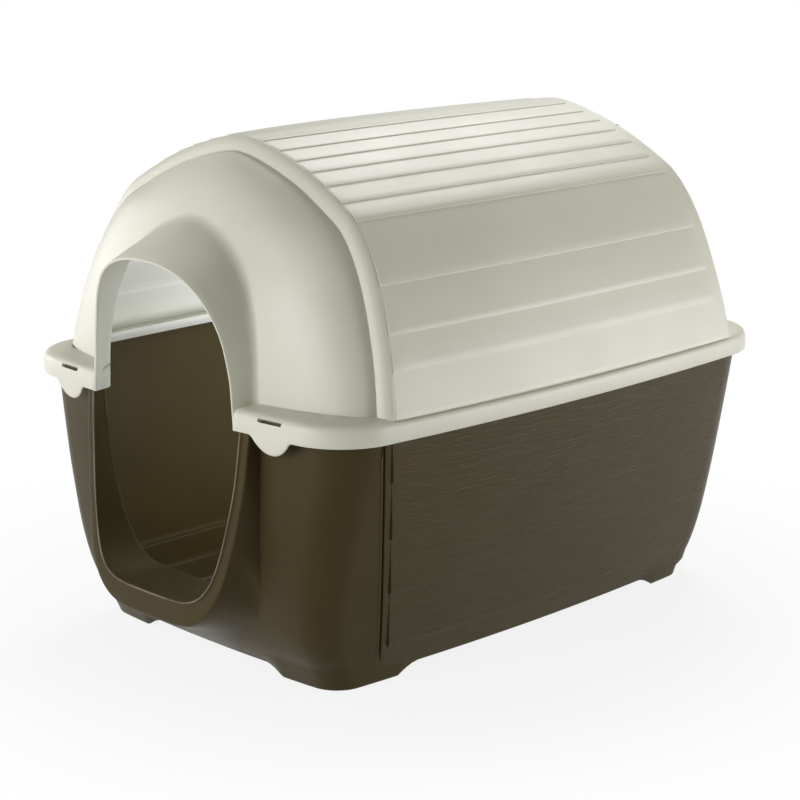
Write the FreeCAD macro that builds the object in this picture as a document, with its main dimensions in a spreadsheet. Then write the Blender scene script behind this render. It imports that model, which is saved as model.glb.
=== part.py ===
import FreeCAD, Part
import math
import os

import Sketcher
from FreeCAD import Vector

# Two-shell plastic dog house: a base tub with a doorway, a lift-off roof, a
# shuttered ventilator and a floor drain. +Z is up, the doorway faces -Y, and the
# origin is the middle of the footprint on the ground. A distance called "deep"
# runs backwards from the door plane, which holds the hood's lower corners.

doc = FreeCAD.newDocument("dog_house")

sizes = {
    # roof rim, seen from above
    "rim_half_width": 350.0,
    "rim_front_deep": -4.7,
    "rim_rear_deep": 910.0,
    "rim_corner_front": 91.0,
    "rim_corner_rear": 95.0,
    "side_bow_radius": 4150.0,
    "end_bow_radius": 2400.0,
    "widest_deep": 400.0,
    # roof rim, in height
    "rim_low": 360.0,
    "rim_band": 18.0,
    "rim_height": 30.0,
    "rim_slope": 13.0,
    "flange_height": 16.0,
    "roof_wall": 3.5,
    # base tub
    "base_wall": 4.0,
    "tub_low": 14.0,
    "tub_half_low": 253.0,
    "tub_half_top": 339.5,
    "tub_front_deep": 19.0,
    "tub_rear_deep": 886.0,
    "tub_corner_low": 45.0,
    "tub_corner_top": 80.0,
    "front_round_height": 215.0,
    "front_round_depth": 85.0,
    "rear_round_height": 130.0,
    "rear_round_depth": 60.0,
    "lip_width": 5.0,
    "lip_height": 12.0,
    "lip_gap": 0.6,
    # cabin floor
    "floor_top": 34.0,
    "floor_thick": 4.0,
    "plinth_height": 75.0,
    "plinth_width": 8.0,
    "rib_width": 7.0,
    "rib_height": 2.5,
    "rib_pitch": 42.0,
    "rib_margin": 60.0,
    # feet
    "foot_rear_deep": 834.0,
    "foot_inner": 146.0,
    "foot_length": 96.0,
    "foot_run_out": 34.0,
    "foot_set_in": 0.4,
    # lapped boards on the base's sides
    "board_count": 4,
    "board_low": 52.0,
    "board_height": 82.5,
    "board_proud": 3.0,
    "board_top_proud": 0.3,
    "board_front_deep": 168.0,
    "board_front_step": 15.0,
    "board_rear_deep": 812.0,
    # door collar
    "door_half_width": 156.0,
    "door_low": 112.0,
    "collar_width": 15.0,
    "chin_low": 77.0,
    "collar_face_deep": 8.2,
    "collar_lean": 36.4,
    "collar_back_deep": 62.0,
    "chin_back_deep": 78.0,
    "chin_foot": 15.0,
    # vault of the roof, between two end arches
    "vault_half_width": 334.0,
    "vault_rear_taper": 5.0,
    "vault_height": 330.0,
    "arch_front_deep": 112.0,
    "arch_front_lean": 42.0,
    "arch_rear_deep": 790.0,
    "arch_rear_lean": 16.0,
    "vault_bow": 9.0,
    "shingle_proud": 2.5,
    "arch_step": 18.0,
    "arch_bevel": 12.0,
    # rounded ends of the roof
    "dome_inset": 12.0,
    "dome_height": 310.0,
    "dome_corner": 95.0,
    "dome_front_deep": 28.0,
    "dome_rear_deep": 880.0,
    "dome_front_apex": 140.0,
    "dome_rear_apex": 786.0,
    # hood over the doorway
    "hood_half_width": 148.0,
    "hood_height": 184.0,
    "hood_front_deep": 2.0,
    "hood_lean": 28.0,
    "hood_back_deep": 66.0,
    "hood_back_half_width": 163.0,
    "hood_back_height": 230.0,
    "hood_leg_depth": 29.0,
    # finger tabs and latches of the front rim
    "tab_across": 212.0,
    "tab_radius": 37.0,
    "tab_drop": 22.0,
    "slot_length": 46.0,
    "slot_width": 8.0,
    "slot_deep": 12.0,
    "hook_thick": 3.0,
    "hook_end_gap": 4.0,
    "hook_rise": 7.0,
    # ventilator in the rear end of the roof
    "vent_top_deep": 804.0,
    "vent_top_height": 679.0,
    "vent_tilt": 52.0,
    "vent_width": 200.0,
    "vent_length": 95.0,
    "vent_thick": 4.0,
    "vent_boss_margin": 6.0,
    "vent_seat_gap": 0.3,
    "vent_frame": 12.0,
    "vent_slots": 7,
    "vent_pitch": 22.0,
    "vent_slot_width": 9.0,
    "vent_slot_length": 48.0,
    "vent_slot_drop": 17.0,
    "vent_travel": 11.0,
    "shutter_thick": 2.5,
    "shutter_gap": 0.4,
    "shutter_margin": 3.0,
    "rail_wall": 2.0,
    "rail_lip": 2.0,
    "knob_width": 12.0,
    "knob_height": 6.0,
    "knob_reach": 6.0,
    "knob_gap": 0.6,
    "knob_drop": 73.0,
    # floor drain
    "drain_deep": 720.0,
    "drain_radius": 12.0,
    "drain_gap": 0.08,
    "plug_flange_radius": 17.0,
    "plug_flange_height": 3.0,
    "plug_grip_radius": 6.0,
    "plug_grip_height": 9.0,
    "plug_below": 5.0,
}

sheet = doc.addObject("Spreadsheet::Sheet", "sizes")
for row, (alias, value) in enumerate(sizes.items(), start=1):
    sheet.set("A%d" % row, alias)
    sheet.set("B%d" % row, str(value))
    sheet.setAlias("B%d" % row, alias)
doc.recompute()


def size(alias):
    return float(sheet.get(alias))


# heights that several pieces share
rim_low = size("rim_low")
rim_top = rim_low + size("rim_height")
flange_under = rim_low + size("flange_height")
tub_top = flange_under - size("lip_gap")
roof_foot = rim_top - 6

# the row's middle in Y: the collar's chin leads and the rim's rear edge trails
chin_deep = size("collar_face_deep") - size("collar_lean")
door_plane = -(size("rim_rear_deep") + chin_deep) / 2


def at(x, deep, z):
    return Vector(x, door_plane + deep, z)


def mirrored(point):
    return Vector(-point.x, point.y, point.z)


def block(low, high):
    span = high - low
    return Part.makeBox(span.x, span.y, span.z, low)


def loft(wires, ruled=False):
    return Part.makeLoft(wires, True, ruled)


# ---- outlines seen from above: bowed sides and ends with round corners

def cornerArc(side_centre, side_radius, end_centre, end_radius, radius):
    # the arc that rolls inside both the side's bow and the end's bow
    reach_side = side_radius - radius
    reach_end = end_radius - radius
    line = end_centre - side_centre
    apart = line.Length
    along = (reach_side ** 2 - reach_end ** 2 + apart ** 2) / (2 * apart)
    off = math.sqrt(reach_side ** 2 - along ** 2)
    unit = line / apart
    square = Vector(-unit.y, unit.x, 0)
    options = [side_centre + unit * along + square * off * turn for turn in (-1, 1)]
    centre = max(options, key=lambda point: point.x)
    on_side = side_centre + (centre - side_centre).normalize() * side_radius
    on_end = end_centre + (centre - end_centre).normalize() * end_radius
    bulge = ((on_side - centre) + (on_end - centre)).normalize()
    return on_end, centre + bulge * radius, on_side


def plan(z, half_width, front, rear, front_corner, rear_corner, inset=0.0):
    side_radius = size("side_bow_radius") - inset
    end_radius = size("end_bow_radius") - inset
    widest = at(half_width - inset, size("widest_deep"), z)
    foremost = at(0, front + inset, z)
    rearmost = at(0, rear - inset, z)
    side = widest - Vector(side_radius, 0, 0)
    f_end, f_mid, f_side = cornerArc(side, side_radius, foremost + Vector(0, end_radius, 0),
                                     end_radius, front_corner - inset)
    r_end, r_mid, r_side = cornerArc(side, side_radius, rearmost - Vector(0, end_radius, 0),
                                     end_radius, rear_corner - inset)
    arcs = [
        (mirrored(f_end), foremost, f_end),
        (f_end, f_mid, f_side),
        (f_side, widest, r_side),
        (r_side, r_mid, r_end),
        (r_end, rearmost, mirrored(r_end)),
        (mirrored(r_end), mirrored(r_mid), mirrored(r_side)),
        (mirrored(r_side), mirrored(widest), mirrored(f_side)),
        (mirrored(f_side), mirrored(f_mid), mirrored(f_end)),
    ]
    return Part.Wire([Part.Arc(*arc).toShape() for arc in arcs])


def rimPlan(z, inset=0.0):
    return plan(z, size("rim_half_width"), size("rim_front_deep"), size("rim_rear_deep"),
                size("rim_corner_front"), size("rim_corner_rear"), inset)


def rounding(z, height, depth):
    # how far an end wall has curved in at height z
    down = min(max(height - z, 0.0) / height, 0.99)
    return depth * (1 - math.sqrt(1 - down ** 2))


def tubHalf(z):
    grow = (size("tub_half_top") - size("tub_half_low")) / tub_top
    return size("tub_half_low") + grow * z


def tubCorner(z):
    grow = (size("tub_corner_top") - size("tub_corner_low")) / tub_top
    return size("tub_corner_low") + grow * z


def tubFront(z):
    return size("tub_front_deep") + rounding(z, size("front_round_height"), size("front_round_depth"))


def tubRear(z):
    return size("tub_rear_deep") - rounding(z, size("rear_round_height"), size("rear_round_depth"))


def tubPlan(z, inset=0.0, level=None):
    # the tub's outline as it is at height level, drawn at height z
    level = z if level is None else level
    corner = tubCorner(level)
    return plan(z, tubHalf(level), tubFront(level), tubRear(level), corner, corner, inset)


# ---- outlines seen from the front, as shares of a half width and of a height

collar_share = [(1.0, 1.0), (0.95, 0.65), (0.89, 0.42), (0.81, 0.22), (0.70, 0.09), (0.52, 0.012), (0, 0)]
chin_share = [(0.92, 1.0), (0.99, 0.71), (1.0, 0.49), (0.99, 0.335), (0.90, 0.13), (0.68, 0.014), (0, 0)]
hood_share = [(1.0, 0), (0.98, 0.18), (0.91, 0.49), (0.72, 0.80), (0.41, 0.955), (0, 1.0)]


def frontOutline(share, half_width, low, high, face, run):
    # closed outline whose face is at deep = face at the start of the share and
    # face + run at its end, so the plane it lies in leans
    half = [(x * half_width, low + z * (high - low), face + run * abs(z - share[0][1]))
            for x, z in share]
    spots = [at(x, deep, z) for x, z, deep in half]
    spots += [mirrored(spot) for spot in reversed(spots[:-1])]
    curve = Part.BSplineCurve()
    curve.interpolate(spots)
    return Part.Wire([curve.toShape(), Part.LineSegment(spots[-1], spots[0]).toShape()])


def collarOutline(widen, low, face):
    return frontOutline(collar_share, size("door_half_width") + widen, low, tub_top, face,
                        -size("collar_lean"))


def hoodOutline(half_width, height, face, lean):
    return frontOutline(hood_share, half_width, roof_foot, roof_foot + height, face, -lean)


# ---- base shell

def footing(side, front):
    # a corner of the wall carried down to the ground, sloped off on the inside
    top = size("tub_low")
    blocks = []
    for z, ease in ((0.0, 0.0), (top, size("foot_run_out")), (size("floor_top"), size("foot_run_out"))):
        inside = size("foot_inner") - ease
        outside = size("rim_half_width")
        near, far = tubFront(0), tubFront(0) + size("foot_length") + ease
        if not front:
            near, far = size("foot_rear_deep"), size("foot_rear_deep") - size("foot_length") - ease
        reach = near - (far - near)
        corners = [at(inside * side, reach, z), at(outside * side, reach, z),
                   at(outside * side, far, z), at(inside * side, far, z)]
        blocks.append(Part.makePolygon(corners + corners[:1]))
    return loft(blocks, True)


def feet():
    top = size("floor_top") - size("floor_thick") / 2
    ring = []
    for z, inset in ((0.0, size("foot_set_in")), (top, size("base_wall") / 2)):
        corner = tubCorner(z)
        ring.append(plan(z, tubHalf(z), tubFront(z), size("foot_rear_deep"), corner, corner, inset))
    zone = loft(ring, True)
    return [footing(side, front).common(zone) for side in (-1, 1) for front in (True, False)]


def sideBoards():
    # every board is proud at its lower edge and nearly flush at its upper one
    boards = []
    for step in range(int(size("board_count"))):
        bottom = size("board_low") + step * size("board_height")
        top = bottom + size("board_height")
        if step == int(size("board_count")) - 1:
            top = rim_low
        front = size("board_front_deep") - step * size("board_front_step")
        span = block(at(-size("rim_half_width"), front, 0),
                     at(size("rim_half_width"), size("board_rear_deep"), tub_top))
        skin = loft([tubPlan(bottom, -size("board_proud")), tubPlan(top, -size("board_top_proud"))], True)
        core = loft([tubPlan(bottom, size("base_wall") / 2), tubPlan(top, size("base_wall") / 2)], True)
        boards.append(skin.cut(core).common(span))
    return boards


def floorRibs():
    top = size("floor_top")
    half_room = tubHalf(top) - size("rib_margin")
    count = int(half_room // size("rib_pitch"))
    front = size("chin_back_deep") + size("rib_margin")
    rear = size("drain_deep") - size("plug_flange_radius") - size("rib_margin")
    return [block(at(step * size("rib_pitch") - size("rib_width") / 2, front, top - size("floor_thick") / 2),
                  at(step * size("rib_pitch") + size("rib_width") / 2, rear, top + size("rib_height")))
            for step in range(-count, count + 1)]


def latchHook(side):
    # arm off the lip with an upright tongue that stands in the roof's slot
    half = size("slot_length") / 2 - size("hook_end_gap")
    x = size("tab_across") * side
    face = size("slot_deep") - size("hook_thick") / 2
    low = tub_top - size("hook_thick")
    arm = block(at(x - half, face, low), at(x + half, tubFront(tub_top) + size("lip_width"), tub_top))
    tongue = block(at(x - half, face, low),
                   at(x + half, face + size("hook_thick"), tub_top + size("hook_rise")))
    return arm.fuse(tongue)


def heights(low, high, count):
    return [low + (high - low) * step / count for step in range(count + 1)]


def baseShell():
    wall = size("base_wall")
    floor = size("floor_top")
    floor_under = floor - size("floor_thick")
    ledge = size("plinth_height")
    outer = loft([tubPlan(z) for z in heights(size("tub_low"), tub_top, 9)])
    lip = loft([tubPlan(z, -size("lip_width"), tub_top) for z in (tub_top - size("lip_height"), tub_top)],
               True)
    chin = frontOutline(chin_share, size("door_half_width") + 2 * size("collar_width"),
                        size("chin_foot"), tub_top, size("chin_back_deep"), 0)
    collar = loft([collarOutline(size("collar_width"), size("chin_low"), size("collar_face_deep")), chin], True)
    shell = outer.fuse([lip, collar] + sideBoards())

    low_room = loft([tubPlan(z, wall + size("plinth_width")) for z in heights(floor, ledge, 2)])
    high_room = loft([tubPlan(z, wall) for z in heights(ledge, tub_top + 1, 8)])
    under = loft([tubPlan(z, wall, size("tub_low")) for z in (size("tub_low") - 1, size("tub_low"))]
                 + [tubPlan(floor_under, wall)], True)
    mouth = collarOutline(0, size("door_low"), size("collar_face_deep"))
    tunnel = loft([mouth, frontOutline(collar_share, size("door_half_width") + 4, size("door_low") + 4,
                                       tub_top, size("collar_back_deep"), 0)], True)
    before = loft([collarOutline(0, size("door_low"), size("collar_face_deep") - size("collar_lean")), mouth],
                  True)
    shell = shell.cut([low_room, high_room, under, tunnel, before])
    shell = shell.fuse(feet() + floorRibs() + [latchHook(side) for side in (-1, 1)])
    drain = Part.makeCylinder(size("drain_radius"), floor, at(0, size("drain_deep"), 0))
    return shell.cut(drain)


# ---- roof shell

# half section of the vault, from the ridge to the foot, one point per board edge
arch_share = [(0, 1.0), (0.113, 0.985), (0.220, 0.957), (0.315, 0.926), (0.408, 0.893), (0.5, 0.850),
              (0.598, 0.801), (0.6875, 0.745), (0.836, 0.509), (0.902, 0.340), (0.958, 0.178), (1.0, 0)]


def archPoint(share):
    return Vector(share[0] * size("vault_half_width"), 0, roof_foot + share[1] * size("vault_height"))


def archHalf(z):
    # half width of the vault's section at height z
    for above, below in zip(arch_share, arch_share[1:]):
        high, low = archPoint(above), archPoint(below)
        if low.z <= z <= high.z:
            return high.x + (low.x - high.x) * (high.z - z) / (high.z - low.z)
    return size("vault_half_width")


def archSection(inset, proud):
    # half section moved in by inset; each board's lower edge stands proud
    points = []
    last = len(arch_share) - 1
    for index, share in enumerate(arch_share):
        before = archPoint(arch_share[max(index - 1, 0)])
        after = archPoint(arch_share[min(index + 1, last)])
        along = (after - before).normalize()
        normal = Vector(-along.z, 0, along.x) if index else Vector(0, 0, 1)
        flush = archPoint(share) - normal * inset
        if proud and 0 < index < last:
            points.append(flush + normal * proud)
        points.append(flush)
    return points


def archWire(points, foot, deep, lean, widen=0.0, taper=0.0):
    half = []
    for point in points[:-1] + [Vector(points[-1].x, 0, foot)]:
        x = point.x + widen * min(1.0, point.x / archPoint(arch_share[1]).x)
        x -= taper * point.x / size("vault_half_width")
        half.append(at(x, deep + lean * (point.z - roof_foot) / size("vault_height"), point.z))
    run = half + [mirrored(point) for point in reversed(half[1:])]
    return Part.makePolygon(run + run[:1])


def vault(inset, proud, foot, shorten=0.0):
    points = archSection(inset, proud)
    front = size("arch_front_deep") + shorten
    rear = size("arch_rear_deep") - shorten
    return loft([archWire(points, foot, front, size("arch_front_lean")),
                 archWire(points, foot, (front + rear) / 2, 0, size("vault_bow")),
                 archWire(points, foot, rear, -size("arch_rear_lean"), 0, size("vault_rear_taper"))])


def archBevel(deep, lean, towards, taper):
    # sloped band from the vault's end in to the smaller rounded end
    reach = size("arch_bevel") * towards
    return loft([archWire(archSection(0, 0), roof_foot, deep, lean, 0, taper),
                 archWire(archSection(size("arch_step"), 0), roof_foot, deep + reach, lean, 0, taper)], True)


def domePlan(z, inset=0.0):
    rise = min(max((z - roof_foot) / size("dome_height"), 0.0), 1.0)
    level = math.sqrt(1 - rise ** 2)
    front = size("dome_front_apex") - (size("dome_front_apex") - size("dome_front_deep")) * level
    rear = size("dome_rear_apex") + (size("dome_rear_deep") - size("dome_rear_apex")) * level
    half = archHalf(z) - size("dome_inset")
    corner = min(size("dome_corner"), half * 0.9) * (0.45 + 0.55 * level)
    return plan(z, half, front, rear, corner, corner, inset)


def dome(inset, foot):
    shares = [0.2, 0.4, 0.56, 0.69, 0.8, 0.88, 0.94, 0.985]
    levels = [foot] + [roof_foot + share * (size("dome_height") - inset) for share in shares]
    return loft([domePlan(z, inset) for z in levels])


def hoodSolid(inset, front, back):
    # from the leaning front outline back to a larger one inside the front dome
    lean = size("hood_lean") * (size("hood_height") - inset) / size("hood_height")
    return loft([hoodOutline(size("hood_half_width") - inset, size("hood_height") - inset, front, lean),
                 hoodOutline(size("hood_back_half_width") - inset, size("hood_back_height") - inset, back, 0)],
                True)


def hoodLeg(side):
    outside = size("hood_half_width") * side
    inside = (size("hood_half_width") - size("roof_wall")) * side
    front = size("hood_front_deep")
    return block(at(min(inside, outside), front, rim_low),
                 at(max(inside, outside), front + size("hood_leg_depth"), rim_top))


def fingerTab(side):
    wall = size("roof_wall")
    low = rim_low - size("tab_drop")
    front = size("rim_front_deep")
    disc = Part.makeCylinder(size("tab_radius"), size("rim_corner_front"),
                             at(size("tab_across") * side, front, low + size("tab_radius")), Vector(0, 1, 0))
    outside = loft([rimPlan(z) for z in (low - 1, rim_low + 1)], True)
    inside = loft([rimPlan(z, wall) for z in (low - 2, rim_low + 2)], True)
    return outside.cut(inside).common(disc)


def latchSlot(side):
    half = size("slot_length") / 2
    x = size("tab_across") * side
    return block(at(x - half, size("slot_deep") - size("slot_width") / 2, rim_low),
                 at(x + half, size("slot_deep") + size("slot_width") / 2, rim_top + 1))


def ventPlacement():
    # local X runs to the left, local Y up the slope, local Z out of the roof
    tilt = math.radians(size("vent_tilt"))
    up_slope = Vector(0, -math.cos(tilt), math.sin(tilt))
    outward = Vector(0, math.sin(tilt), math.cos(tilt))
    turn = FreeCAD.Rotation(Vector(-1, 0, 0), up_slope, outward, "ZXY")
    return FreeCAD.Placement(at(0, size("vent_top_deep"), size("vent_top_height")), turn)


def ventBlock(grow, low, high):
    half = size("vent_width") / 2 + grow
    box = block(Vector(-half, -size("vent_length") - grow, low), Vector(half, grow, high))
    box.Placement = ventPlacement()
    return box


def roofShell():
    wall = size("roof_wall")
    skirt = loft([rimPlan(z) for z in (rim_low, rim_low + size("rim_band"))], True)
    shoulder = loft([rimPlan(rim_low + size("rim_band")), rimPlan(rim_top, size("rim_slope"))], True)
    outer = skirt.fuse([
        shoulder,
        dome(0, roof_foot),
        vault(0, size("shingle_proud"), roof_foot),
        archBevel(size("arch_front_deep"), size("arch_front_lean"), -1, 0),
        archBevel(size("arch_rear_deep"), -size("arch_rear_lean"), 1, size("vault_rear_taper")),
        hoodSolid(0, size("hood_front_deep"), size("hood_back_deep")),
        ventBlock(size("vent_boss_margin"), -40, -size("vent_thick") / 2),
    ])
    seat = ventBlock(size("vent_seat_gap"), -size("vent_thick"), 40)
    window = ventBlock(-size("vent_frame"), -90, 40)

    low = flange_under - 1
    under_rim = loft([rimPlan(z, wall) for z in (rim_low - 1, flange_under)], True)
    inside = [under_rim, dome(wall, low), vault(wall + 1, 0, low, wall),
              hoodSolid(wall, size("hood_front_deep") - 20, size("hood_back_deep") + 60)]
    gate = size("hood_half_width") - wall
    doorway = block(at(-gate, chin_deep, rim_low - 1), at(gate, size("hood_back_deep"), rim_top))
    shell = outer.cut(inside + [doorway, seat, window])
    extras = [fingerTab(side) for side in (-1, 1)] + [hoodLeg(side) for side in (-1, 1)]
    return shell.fuse(extras).cut([latchSlot(side) for side in (-1, 1)])


def feature(name, shape):
    item = doc.addObject("Part::Feature", name)
    item.Label = name
    item.Shape = shape
    item.Placement = FreeCAD.Placement()
    return item


# ---- small pieces, sketched and padded

def newBody(name, placement):
    body = doc.addObject("PartDesign::Body", name)
    body.Label = name
    body.Placement = placement
    return body


def sketchOn(body, name, role, offset="0"):
    sketch = body.newObject("Sketcher::SketchObject", name)
    plane = next(item for item in body.Origin.OriginFeatures if item.Role == role)
    sketch.AttachmentSupport = [(plane, "")]
    sketch.MapMode = "FlatFace"
    sketch.setExpression("AttachmentOffset.Base.z", offset)
    return sketch


def drive(sketch, constraint, expression):
    index = sketch.addConstraint(constraint)
    sketch.setExpression("Constraints[%d]" % index, expression)


def rectangle(sketch, left, low, width, height):
    # four lines placed and sized by expressions
    x, y, w, t = [float(sketch.evalExpression(item)) for item in (left, low, width, height)]
    corners = [Vector(x, y, 0), Vector(x + w, y, 0), Vector(x + w, y + t, 0), Vector(x, y + t, 0)]
    first = sketch.GeometryCount
    for start, end in zip(corners, corners[1:] + corners[:1]):
        sketch.addGeometry(Part.LineSegment(start, end), False)
    for step in range(4):
        sketch.addConstraint(Sketcher.Constraint("Coincident", first + step, 2, first + (step + 1) % 4, 1))
    for step, kind in enumerate(("Horizontal", "Vertical", "Horizontal", "Vertical")):
        sketch.addConstraint(Sketcher.Constraint(kind, first + step))
    drive(sketch, Sketcher.Constraint("DistanceX", -1, 1, first, 1, x), left)
    drive(sketch, Sketcher.Constraint("DistanceY", -1, 1, first, 1, y), low)
    drive(sketch, Sketcher.Constraint("DistanceX", first, 1, first, 2, w), width)
    drive(sketch, Sketcher.Constraint("DistanceY", first + 1, 1, first + 1, 2, t), height)


def circle(sketch, radius):
    value = float(sketch.evalExpression(radius))
    sketch.addGeometry(Part.Circle(Vector(0, 0, 0), Vector(0, 0, 1), value), False)
    sketch.addConstraint(Sketcher.Constraint("Coincident", 0, 3, -1, 1))
    drive(sketch, Sketcher.Constraint("Radius", 0, value), radius)


def pad(body, name, sketch, length, reverse=False):
    item = body.newObject("PartDesign::Pad", name)
    item.Profile = sketch
    item.Reversed = reverse
    item.setExpression("Length", length)
    doc.recompute()
    return item


def pocket(body, name, sketch):
    item = body.newObject("PartDesign::Pocket", name)
    item.Profile = sketch
    item.Type = "ThroughAll"
    doc.recompute()
    return item


def slotRow(body, level):
    # the row of air slots, the same in the grille and in its shutter
    sketch = sketchOn(body, body.Name + "_slot", "XY_Plane", level)
    rectangle(sketch, "-(sizes.vent_slots - 1) * sizes.vent_pitch / 2 - sizes.vent_slot_width / 2",
              "-sizes.vent_slot_drop - sizes.vent_slot_length", "sizes.vent_slot_width",
              "sizes.vent_slot_length")
    first = pocket(body, body.Name + "_slot_cut", sketch)
    row = body.newObject("PartDesign::LinearPattern", body.Name + "_slots")
    row.Originals = [first]
    row.Direction = (sketch, ["H_Axis"])
    row.setExpression("Occurrences", "sizes.vent_slots")
    row.setExpression("Length", "(sizes.vent_slots - 1) * sizes.vent_pitch")
    body.Tip = row
    doc.recompute()


behind = "-sizes.vent_thick - sizes.shutter_gap"
shutter_top = "-sizes.vent_frame - sizes.rail_wall - sizes.shutter_gap"
shutter_height = "(sizes.vent_length - 2 * (sizes.vent_frame + sizes.rail_wall + sizes.shutter_gap))"
shutter_width = "((sizes.vent_slots - 1) * sizes.vent_pitch + sizes.vent_slot_width + 2 * sizes.shutter_margin)"
rail_depth = "(sizes.shutter_thick + 2 * sizes.shutter_gap + sizes.rail_wall)"


def ventGrille():
    body = newBody("vent_grille", ventPlacement())
    plate = sketchOn(body, "grille_plate", "XY_Plane", "-sizes.vent_thick")
    rectangle(plate, "-sizes.vent_width / 2", "-sizes.vent_length", "sizes.vent_width", "sizes.vent_length")
    pad(body, "grille_plate_pad", plate, "sizes.vent_thick")
    slotRow(body, "0")
    knob_way = sketchOn(body, "grille_knob_way", "XY_Plane")
    rectangle(knob_way, "-sizes.knob_width / 2 - sizes.vent_travel - sizes.knob_gap",
              "-sizes.knob_drop - sizes.knob_height - sizes.knob_gap",
              "sizes.knob_width + 2 * sizes.vent_travel + 2 * sizes.knob_gap",
              "sizes.knob_height + 2 * sizes.knob_gap")
    pocket(body, "grille_knob_way_cut", knob_way)
    wide = "(%s + 2 * sizes.vent_travel)" % shutter_width
    for name, low, lip_low in (
        ("upper", "-sizes.vent_frame - sizes.rail_wall", "-sizes.vent_frame - sizes.rail_wall - sizes.rail_lip"),
        ("lower", "-sizes.vent_length + sizes.vent_frame", "-sizes.vent_length + sizes.vent_frame"),
    ):
        rail = sketchOn(body, "grille_rail_" + name, "XY_Plane", "-sizes.vent_thick")
        rectangle(rail, "-%s / 2" % wide, low, wide, "sizes.rail_wall")
        pad(body, "grille_rail_pad_" + name, rail, rail_depth, True)
        lip = sketchOn(body, "grille_lip_" + name, "XY_Plane", "-sizes.vent_thick - %s" % rail_depth)
        rectangle(lip, "-%s / 2" % wide, lip_low, wide, "sizes.rail_wall + sizes.rail_lip")
        pad(body, "grille_lip_pad_" + name, lip, "sizes.rail_wall")
    return body


def ventShutter():
    body = newBody("vent_shutter", ventPlacement())
    plate = sketchOn(body, "shutter_plate", "XY_Plane", behind + " - sizes.shutter_thick")
    rectangle(plate, "-%s / 2" % shutter_width, "%s - %s" % (shutter_top, shutter_height), shutter_width,
              shutter_height)
    pad(body, "shutter_plate_pad", plate, "sizes.shutter_thick")
    slotRow(body, behind)
    knob = sketchOn(body, "shutter_knob", "XY_Plane", behind)
    rectangle(knob, "-sizes.knob_width / 2", "-sizes.knob_drop - sizes.knob_height", "sizes.knob_width",
              "sizes.knob_height")
    pad(body, "shutter_knob_pad", knob, "sizes.vent_thick + sizes.shutter_gap + sizes.knob_reach")
    return body


def drainPlug():
    body = newBody("drain_plug", FreeCAD.Placement(at(0, size("drain_deep"), size("floor_top")),
                                                   FreeCAD.Rotation()))
    below = "sizes.floor_thick + sizes.plug_below"
    for name, level, radius, height in (
        ("plug_shaft", "-(%s)" % below, "sizes.drain_radius - sizes.drain_gap", below),
        ("plug_flange", "0", "sizes.plug_flange_radius", "sizes.plug_flange_height"),
        ("plug_grip", "sizes.plug_flange_height", "sizes.plug_grip_radius", "sizes.plug_grip_height"),
    ):
        sketch = sketchOn(body, name, "XY_Plane", level)
        circle(sketch, radius)
        pad(body, name + "_pad", sketch, height)
    return body


pieces = [feature("base_shell", baseShell()), feature("roof_shell", roofShell()),
          ventGrille(), ventShutter(), drainPlug()]
doc.recompute()

for item in doc.Objects:
    if "Invalid" in item.State or "Error" in item.State:
        raise RuntimeError("%s did not rebuild: %s" % (item.Name, item.State))
for piece in pieces:
    if piece.Shape.isNull() or not piece.Shape.isValid() or len(piece.Shape.Solids) != 1:
        raise RuntimeError("%s is not one valid solid" % piece.Label)

os.makedirs("parts", exist_ok=True)
for piece in pieces:
    piece.Shape.exportStep("parts/%s.step" % piece.Label)
    print("%s %.0f mm3" % (piece.Label, piece.Shape.Volume))
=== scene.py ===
import math

import bpy
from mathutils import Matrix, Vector


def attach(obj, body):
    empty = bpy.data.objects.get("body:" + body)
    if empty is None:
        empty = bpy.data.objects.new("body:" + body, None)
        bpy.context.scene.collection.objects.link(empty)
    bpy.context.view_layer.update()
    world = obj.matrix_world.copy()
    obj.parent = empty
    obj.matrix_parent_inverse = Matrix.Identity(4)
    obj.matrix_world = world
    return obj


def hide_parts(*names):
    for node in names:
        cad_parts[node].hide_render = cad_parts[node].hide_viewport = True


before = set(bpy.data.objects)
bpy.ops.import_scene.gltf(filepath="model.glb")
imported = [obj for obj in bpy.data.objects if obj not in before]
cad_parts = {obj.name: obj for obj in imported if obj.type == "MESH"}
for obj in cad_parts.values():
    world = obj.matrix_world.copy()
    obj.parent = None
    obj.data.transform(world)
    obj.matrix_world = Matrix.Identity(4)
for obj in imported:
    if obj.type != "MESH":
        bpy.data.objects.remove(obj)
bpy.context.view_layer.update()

# Distances are in millimetres. "deep" runs backwards from the door plane, which
# holds the lower corners of the hood over the doorway.
doorPlane = -440.9
context = bpy.context


def place(x, deep, z):
    return Vector((x / 1000, (doorPlane + deep) / 1000, z / 1000))


def deselect():
    if context.object and context.object.mode != "OBJECT":
        bpy.ops.object.mode_set(mode="OBJECT")
    bpy.ops.object.select_all(action="DESELECT")


def activate(piece):
    deselect()
    piece.select_set(True)
    context.view_layer.objects.active = piece


def settle(piece, name):
    activate(piece)
    bpy.ops.object.transform_apply(location=True, rotation=True, scale=True)
    piece.name = name
    piece.data.name = name
    return piece


def modify(piece, kind, **settings):
    activate(piece)
    item = piece.modifiers.new(kind.lower(), kind)
    for key, value in settings.items():
        setattr(item, key, value)
    bpy.ops.object.modifier_apply(modifier=item.name)


def soften(piece, width, segments=2, angle=None):
    # rounds a piece's edges, or only those sharper than an angle in degrees
    limits = {"limit_method": "ANGLE", "angle_limit": math.radians(angle)} if angle else {}
    modify(piece, "BEVEL", width=width / 1000, segments=segments, **limits)


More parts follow.
